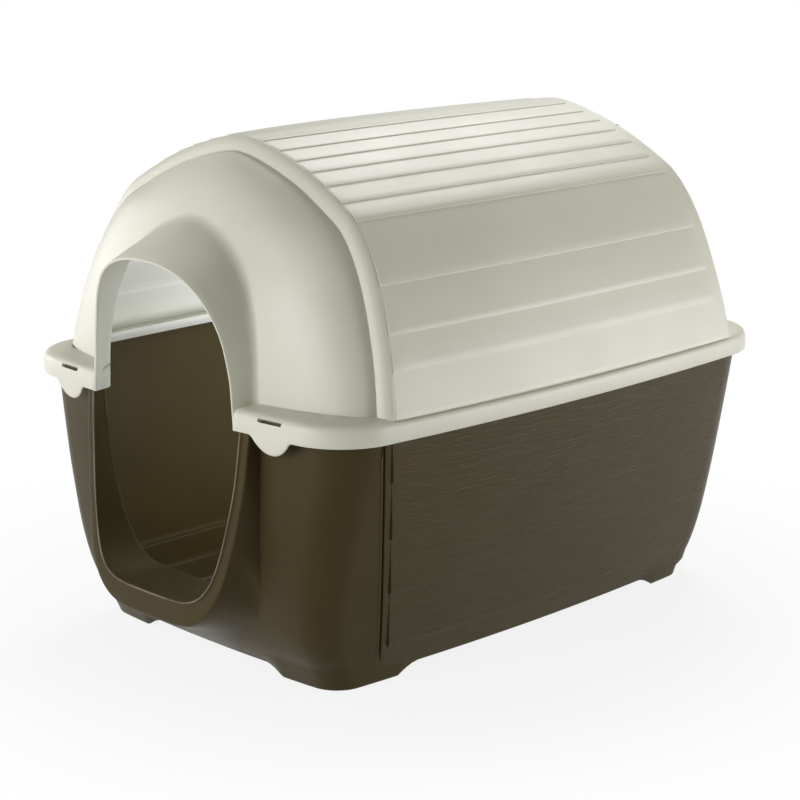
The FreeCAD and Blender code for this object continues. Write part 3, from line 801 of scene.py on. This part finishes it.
tub = {"wall": 4, "lip": 5, "lipTop": 374.6, "top": 375.4, "floor": 34, "underside": 30, "ledge": 75,
       "plinth": 8, "edge": 14, "footInner": 146, "footRamp": 31, "footFront": 196, "footFrontRamp": 36,
       "footRear": 740, "footRearRamp": 34, "footStep": 10, "heel": 780, "heelRun": 40,
       "grooveTop": 101, "slant": 0.176, "boardTop": 123, "boardRear": 810, "proud": 3.0, "topProud": 0.3}
# the tub's front and rear columns, by x, and the number of columns round each corner
frontColumns = [0, 20, 40, 60, 80, 96, 106, 112, 117, 123, 130, 137, 143, 148, 155, 163, 172, 182, 192]
rearColumns = [188, 178, 168, 158, 150, 144, 138, 130, 122, 116, 110, 90, 60, 30, 0]
cornerColumns = 12
boardLines = [52, 134, 216, 300]
tubHalf = curveThrough([(0, 253), (60, 268.5), (134, 286.5), (216, 305), (300, 323.5), (376, 339)])
tubFront = curveThrough([(0, 81), (14, 76), (30, 63.5), (50, 50), (75, 38.5), (110, 29.5), (150, 24),
                         (198, 21), (240, 19.3), (376, 19)])
tubRear = curveThrough([(0, 834), (8, 840), (17, 847), (30, 858), (47, 867), (75, 876), (107, 881),
                        (180, 885), (233, 886), (376, 886)])
tubCorner = curveThrough([(0, 45), (100, 56), (250, 67), (376, 74)])


def tubSides(z):
    # deep values of the side's columns; the first cluster follows the slanted groove
    groove = tub["grooveTop"] + (356 - z) * tub["slant"]
    start = tub["boardTop"] + (300 - z) * tub["slant"] + 1
    cluster = [groove + step for step in (-9, -6.5, -5, -3.4, -2.2, -1.4, 0, 1.4, 2.4, 4)]
    cluster += [start - 4, start - 0.5, start, start + 1.2, start + 4]
    rest = ([184, 190, 196, 204, 212, 221, 232, 240] + spread(262, 684, 15)
            + [700, 706, 714, 723, 732, 740, 752, 768, 784, 797])
    end = [806, 809, tub["boardRear"], tub["boardRear"] + 0.5, tub["boardRear"] + 4]
    return cluster + rest + end


# side columns from the groove cluster: how far each stands out, and its share of a board
grooveRelief = [0, 0.5, 1.3, 1.6, 0.4, -3.2, -3.8, -3.2, -0.3, 0]
boardShare = [0] * 12 + [0.94, 1, 1] + [1] * 33 + [1, 1, 1, 0, 0]


def boardRelief(z):
    if z < boardLines[0]:
        return 0
    lower = max(line for line in boardLines if line <= z)
    upper = min([line for line in boardLines if line > z], default=384)
    return mix(tub["proud"], tub["topProud"], (z - lower) / (upper - lower))


def footDrop(x, deep):
    # 1 on a foot, 0 between the feet, with hollow run-outs
    inward = min(max((abs(x) - tub["footInner"] + tub["footRamp"]) / tub["footRamp"], 0), 1)
    ahead = min(max((tub["footFront"] + tub["footFrontRamp"] - deep) / tub["footFrontRamp"], 0), 1)
    behind = min(max((deep - tub["footRear"] + tub["footRearRamp"]) / tub["footRearRamp"], 0), 1)
    return (inward * max(ahead, behind)) ** 1.6


def tubLoop(level, inset=0, z=None, relief=None, foot=False, share=1):
    # a loop round the tub at one level: set in from the outer face, lifted to z, with
    # the sides' relief, drawn down to the feet, or narrowed to a share of its width
    z = level if z is None else z
    corner = max(tubCorner(level), inset + 6)
    half = halfOutline(tubHalf(level), tubFront(level), tubRear(level), corner, corner,
                       frontColumns, cornerColumns, tubSides(level), rearColumns, inset)
    points = []
    for index, (x, deep) in enumerate(half):
        height = z
        if foot:
            drop = footDrop(x, deep)
            height -= drop * max(0, (tub["floor"] - z) / (tub["floor"] - tub["edge"])) * tub["edge"]
            if deep > tub["heel"]:
                back = ease((deep - tub["heel"]) / tub["heelRun"])
                deep -= tub["footStep"] * drop * back * ease((19 - height) / 5)
        out = 0
        side = index - len(frontColumns) - cornerColumns
        if relief is not None and 0 <= side < len(boardShare):
            out = relief * boardShare[side]
            if side < len(grooveRelief):
                out += grooveRelief[side] * ease((z - 30) / 16)
        points.append((x * share + out, deep, height))
    run = points + [(-x, deep, height) for x, deep, height in reversed(points)]
    return [place(*point) for point in run] + [place(*run[0])]


def makeTub():
    wall, lip, edge, top, ledge = [tub[key] for key in ("wall", "lip", "edge", "top", "ledge")]
    shares = [0, 0.35, 0.7, 0.92]
    # underside, from its middle line outwards, then down inside the foot of the wall
    rows = [tubLoop(tub["underside"], wall + 1, share=share) for share in shares + [1]]
    rows.append(tubLoop(24, wall))
    for up, inset in ((1, wall - 0.2), (0.2, wall - 0.8), (0, wall - 1.6), (0, 1.6), (0.4, 0.6)):
        rows.append(tubLoop(edge + up, inset, foot=True))
    rows.append(tubLoop(edge + 1.4, 0, foot=True, relief=0))
    # outside, board by board
    levels = [18, 22, 26, 30, 34, 40, 46]
    reliefs = {}
    for line, above in zip(boardLines, boardLines[1:] + [368]):
        levels += [line + up for up in (-0.6, -0.25, 0.15, 1.0, 3)]
        levels += spread(line + 12, above - 9, 5) + [above - 3]
        reliefs.update({line - 0.25: 0.8, line + 0.15: 2.5, line + 1.0: 2.95})
    for z in levels:
        rows.append(tubLoop(z, 0, foot=z < tub["floor"], relief=reliefs.get(z, boardRelief(z))))
    rows.append(tubLoop(366.5, 0, relief=tub["topProud"]))
    # over the lip and down the inside
    for inset, z in ((-lip, 367), (-lip, tub["lipTop"]), (0.8 - lip, top), (wall - 0.8, top),
                     (wall, tub["lipTop"])):
        rows.append(tubLoop(top, inset, z=z))
    rows += [tubLoop(z, wall) for z in spread(366, 84, 14) + [78]]
    # the step round the cabin's floor, then the floor
    plinth = wall + tub["plinth"]
    rows += [tubLoop(ledge, wall + 1), tubLoop(ledge - 0.6, plinth - 1.2), tubLoop(ledge - 1.8, plinth)]
    rows += [tubLoop(z, plinth) for z in (64, 54, 44, 38)]
    rows.append(tubLoop(35, plinth + 1.5))
    rows += [tubLoop(tub["floor"], plinth + 5, share=share) for share in [1] + shares[::-1]]
    return sheetOf("base_tub", rows)


# door outlines from the top of the right side down to the bottom middle: (x, deep, z)
doorInner = [(156.5, 8.6, 378), (154, 4, 336), (152, 2, 308), (149, 0, 280), (145, -4, 252),
             (140, -7.5, 224), (134, -11, 196), (126.5, -15, 168), (119, -18.5, 150), (110, -21.5, 135),
             (98, -24, 124), (82, -25.8, 116.5), (62, -26.8, 113.2), (34, -27.2, 112.2), (0, -27.3, 112)]
doorOuter = [(173, 8.6, 378), (171, 4, 340), (168, 1.5, 300), (163, -2.5, 260), (157.5, -7.5, 222),
             (151, -12, 188), (143.5, -17, 158), (135, -21.5, 134), (124, -25, 115.5), (110, -27, 99),
             (95, -28, 87.5), (76, -28.5, 80), (50, -28.8, 77.6), (25, -29, 77), (0, -29, 77)]
# where the collar leaves the front wall, as (x, z), and how softly it runs into it
doorRoot = [(172, 378), (171.5, 338), (171, 298), (170, 258), (168, 218), (166, 184), (165, 156), (166, 130),
            (168, 104), (167, 76), (160, 49), (146, 28), (120, 17), (82, 14), (40, 14), (0, 14)]
doorSoft = curveThrough([(0, 0.1), (60, 0.35), (128, 0.85), (152, 0.95), (180, 0.9)])
doorBack = [(163, 24, 378), (160, 24, 338), (157, 24, 300), (151, 24, 270), (144, 24.5, 242), (137, 25, 219),
            (130, 26.5, 194), (123, 30, 170), (115, 33, 152), (107, 36, 137), (96, 39, 126), (82, 43, 118),
            (62, 48, 114.5), (34, 50, 113), (0, 50, 113)]
collar = {"columns": 90, "beadWidth": 3.4, "beadHeight": 2.0, "round": 2.6, "softTop": 176, "softRun": 70}
cutter = {"columns": 40, "front": -60, "rear": 58, "heart": 260, "above": 420}
forward = Vector((0, -1, 0))


def towards(a, b, length):
    gap = b - a
    return a + gap.normalized() * min(length, gap.length * 0.5)


def wallDeep(x, z):
    # how deep the front wall's outer face lies at a place seen from the front
    corner = tubCorner(z)
    run = halfOutline(tubHalf(z), tubFront(z), tubRear(z), corner, corner, spread(0, 190, 20), 10, 3, [0])
    for (x0, deep0), (x1, deep1) in zip(run, run[1:]):
        if x0 <= abs(x) <= x1:
            return mix(deep0, deep1, (abs(x) - x0) / max(x1 - x0, 1e-6))
    return run[0][1]


def makeCollar():
    roots, outers, inners, backs = [flowing(run, collar["columns"])
                                    for run in (doorRoot, doorOuter, doorInner, doorBack)]
    roots = [(x, wallDeep(x, z) + 1.5, z) for x, z in roots]
    runs = [mirrorRun(run) for run in (roots, outers, inners, backs)]
    wide = collar["beadWidth"]
    raised = forward * collar["beadHeight"]
    rows = []
    for root, outer, inner, back in zip(*runs):
        root, outer, inner, back = Vector(root), Vector(outer), Vector(inner), Vector(back)
        hidden = root + (back - root) * 0.5 + Vector((0, 8, 0))
        # the outer side is a curve that may settle softly onto the wall
        soft = doorSoft(abs(root.x)) * ease((collar["softTop"] - root.z) / collar["softRun"])
        elbow = Vector((mix(outer.x, root.x, 0.22), mix(outer.y, root.y, 0.94), mix(outer.z, root.z, 0.22)))
        control = ((root + outer) * 0.5).lerp(elbow, soft)
        nearOuter = towards(outer, control, collar["round"])
        onFace = towards(outer, inner, collar["round"])
        band = [root * (1 - t) ** 2 + control * 2 * t * (1 - t) + nearOuter * t * t
                for t in (0, 0.1, 0.2, 0.32, 0.45, 0.6, 0.75, 0.88)]
        corner = [nearOuter, nearOuter * 0.35 + outer * 0.45 + onFace * 0.2,
                  nearOuter * 0.2 + outer * 0.45 + onFace * 0.35, onFace]
        lip = [towards(inner, outer, wide + 1.2), towards(inner, outer, wide) + raised * 0.55,
               towards(inner, outer, wide * 0.62) + raised, towards(inner, outer, 1.0) + raised,
               inner + raised * 0.45, towards(inner, back, 1.6)]
        tunnel = [inner + (back - inner) * t for t in (0.2, 0.5, 0.8)]
        row = [hidden] + band + corner + [onFace * 0.5 + lip[0] * 0.5] + lip + tunnel
        rows.append([place(*point) for point in row + [back, back + Vector((0, 4, 0)), hidden]])
    return smooth(sheetOf("base_collar", rows, capEnds=True), 38), runs[2]


def doorCutter():
    # closed plug through the front wall, its edge hidden inside the collar
    inners, outers = along(doorInner, cutter["columns"]), along(doorOuter, cutter["columns"])
    middle = mirrorRun([((a[0] + b[0]) / 2, 0, (a[2] + b[2]) / 2) for a, b in zip(inners, outers)])
    outline = [(x, z) for x, _, z in middle]
    outline += [(x, cutter["above"]) for x in (outline[-1][0], 0, outline[0][0])] + [outline[0]]
    rows = []
    for deep, closed in ((cutter["front"], True), (cutter["front"], False), (0, False),
                         (cutter["rear"], False), (cutter["rear"], True)):
        rows.append([place(0, deep, cutter["heart"]) if closed else place(x, deep, z) for x, z in outline])
    return sheetOf("door_cutter", rows)


def isBoard(face):
    # the outer faces of the side walls, behind the upright groove
    x, y, z = [value * 1000 for value in face.center]
    groove = doorPlane + tub["grooveTop"] + (356 - z) * tub["slant"] + 5
    outward = face.normal.x * math.copysign(1, x)
    return outward > 0.5 and groove < y < doorPlane + tub["boardRear"] + 12 and z > 20


tubPiece = makeTub()
carve(tubPiece, doorCutter())
smooth(tubPiece, 32)
finish(tubPiece, "base", smoothBase, ["base_shell"], grainedBase, isBoard)
collarPiece, doorEdge = makeCollar()
finish(collarPiece, "base", smoothBase, ["base_shell"])


# The rim of the doorway: a thin bead laid on the collar's inner edge, coloured pale as a painted highlight

bead = {"radius": 1.1, "inset": 1.2, "forward": 1.6, "sides": 12}
# pale colours that paint the highlight along the doorway's edge
beadLook = {"dark": (0.100, 0.082, 0.050, 1), "light": (0.200, 0.170, 0.115, 1), "roughness": 0.24,
            "sheen": 0.1, "patches": 14.0, "fine": 500.0, "bump": 0.2, "bumpDepth": 0.00005}


def beadPlastic():
    # the same plastic, made pale in patches as a painted highlight
    recipe = Recipe("base_plastic_painted_highlight")
    paintedHighlight = recipe.ramp(recipe.noise(beadLook["patches"], 3.0), toneStops)
    return setSmallPart(recipe, beadLook, paintedHighlight, recipe.noise(beadLook["fine"]))


def makeBead():
    edge = [Vector(point) for point in doorEdge]
    turns = [math.pi * 2 * step / bead["sides"] for step in range(bead["sides"] + 1)]
    rows = []
    for middle, behind, ahead in zip(edge, edge[:1] + edge, edge[1:] + edge[-1:]):
        across = (ahead - behind).normalized().cross(forward).normalized()
        centre = middle + forward * bead["forward"] - across * bead["inset"]
        rows.append([place(*(centre + (forward * math.sin(turn) + across * math.cos(turn)) * bead["radius"]))
                     for turn in turns])
    return smooth(sheetOf("base_bead", rows, capEnds=True), 60)


finish(makeBead(), "base", beadPlastic(), ["base_shell"])


# Latch tongues that stand in the roof's slots

tongue = {"across": 212, "deep": 12.6, "height": 375, "long": 37, "thick": 3.6, "high": 14, "round": 1.2}


def makeTongues():
    tongues = [block((tongue["long"], tongue["thick"], tongue["high"]),
                     place(tongue["across"] * side, tongue["deep"], tongue["height"]), tongue["round"])
               for side in (-1, 1)]
    return smooth(join(tongues, "base_tongues"), 40)


finish(makeTongues(), "base", smoothBase, ["base_shell"])


# Floor ridges

ridge = {"count": 9, "apart": 42, "deep": 385, "height": 34.2, "wide": 8, "long": 500, "high": 4.6,
         "round": 1.8}


def makeRidges():
    middle = (ridge["count"] - 1) / 2
    ridges = [block((ridge["wide"], ridge["long"], ridge["high"]),
                    place((index - middle) * ridge["apart"], ridge["deep"], ridge["height"]), ridge["round"])
              for index in range(ridge["count"])]
    return smooth(join(ridges, "base_floor_ridges"), 40)


finish(makeRidges(), "base", smoothBase, ["base_shell"])


# Small CAD pieces keep their shape and get their finish

for node, material in (("vent_grille", ventMaterial), ("vent_shutter", ventMaterial),
                       ("drain_plug", plugMaterial)):
    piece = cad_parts[node]
    piece.data.materials.clear()
    piece.data.materials.append(material)


# Stage, light and camera

stage = {"floor": (0.80, 0.80, 0.80, 1), "roughness": 0.9, "whiteNear": 0.86, "shadowNear": 0.45,
         "shadowFar": 0.95, "size": 30, "drop": 0.0005}


def stageMaterial():
    # pale floor that keeps a faint shadow by the object and is plain white further out
    recipe = Recipe("stage_white")
    recipe.shader.inputs["Base Color"].default_value = stage["floor"]
    recipe.shader.inputs["Roughness"].default_value = stage["roughness"]
    path = recipe.add("LightPath", {}, {})
    seen = recipe.add("Math", {"operation": "ADD", "use_clamp": True}, {0: path[0] + path[3], 1: path[6]})[0]
    away = recipe.add("VectorMath", {"operation": "LENGTH"}, {0: recipe.coordinates()})[1]
    white = recipe.add("MapRange", {"interpolation_type": "SMOOTHSTEP"},
                       {"Value": away, "From Min": stage["shadowNear"], "From Max": stage["shadowFar"],
                        "To Min": stage["whiteNear"], "To Max": 1.0})[0]
    glow = recipe.add("Emission", {}, {})[0]
    plain = Wire(recipe, recipe.shader.outputs[0])
    shown = recipe.add("MixShader", {}, {0: seen * white, 1: plain, 2: glow})[0]
    recipe.feed(recipe.tree.nodes["Material Output"].inputs[0], shown)
    return recipe.material


def makeStage():
    deselect()
    bpy.ops.mesh.primitive_plane_add(size=stage["size"], location=(0, 0, -stage["drop"]))
    floor = settle(context.object, "stage_floor")
    floor.data.materials.append(stageMaterial())


lampColour = (1.0, 0.985, 1.01)
lamps = {"front": {"at": (-0.5, -3.5, 1.0), "aim": (0, 0, 0.35), "size": (1.8, 1.4), "power": 68},
         "left": {"at": (-3.2, -1.1, 0.8), "aim": (0, 0, 0.35), "size": (1.8, 1.2), "power": 36},
         "side": {"at": (2.9, 2.6, 0.5), "aim": (0, 0, 0.35), "size": (2.0, 0.9), "power": 84},
         "overhead": {"at": (-1.2, 1.9, 2.8), "aim": (0, 0, 0.4), "size": (1.8, 1.8), "power": 74}}
# the thin roof lets light through, so its inside glows softly
inside = {"at": (0.05, 0.08, 0.35), "power": 6.3, "colour": (0.97, 1.0, 1.14), "size": 0.12}


def addLamp(name, kind, at, power, colour):
    deselect()
    bpy.ops.object.light_add(type=kind, location=at)
    lamp = context.object
    lamp.name = name
    lamp.data.energy = power
    lamp.data.color = colour
    return lamp


def makeLamps():
    for name, look in lamps.items():
        lamp = addLamp(name, "AREA", look["at"], look["power"], lampColour)
        lamp.data.shape = "RECTANGLE"
        lamp.data.size, lamp.data.size_y = look["size"]
        lamp.rotation_euler = (Vector(look["aim"]) - Vector(look["at"])).to_track_quat("-Z", "Y").to_euler()
    glow = addLamp("inside", "POINT", inside["at"], inside["power"], inside["colour"])
    glow.data.shadow_soft_size = inside["size"]
    glow.visible_glossy = False


worldLook = {"colour": (1.0, 1.0, 0.80, 1), "strength": 0.24}


def makeWorld():
    # plain white to the camera, a dim fill light to everything else
    context.scene.world = bpy.data.worlds.new("studio")
    recipe = Recipe("studio", context.scene.world)
    path = recipe.add("LightPath", {}, {})
    fill = recipe.add("Background", {}, {0: worldLook["colour"], 1: worldLook["strength"]})[0]
    white = recipe.add("Background", {}, {0: (1, 1, 1, 1), 1: 1.0})[0]
    shown = recipe.add("MixShader", {}, {0: path[0] + path[6], 1: fill, 2: white})[0]
    recipe.feed(recipe.tree.nodes["World Output"].inputs[0], shown)


view = {"at": (2.3387, -2.2672, 1.1215), "azimuth": 45.856, "elevation": 14.213, "lens": 102.82,
        "sensor": 36}


def makeCamera():
    data = bpy.data.cameras.new("camera")
    data.lens = view["lens"]
    data.sensor_width = view["sensor"]
    camera = bpy.data.objects.new("camera", data)
    context.scene.collection.objects.link(camera)
    camera.location = view["at"]
    camera.rotation_euler = (math.radians(90 - view["elevation"]), 0, math.radians(view["azimuth"]))
    context.scene.camera = camera


makeStage()
makeLamps()
makeWorld()
makeCamera()
context.scene.view_settings.view_transform = "Standard"
print("stage ready")
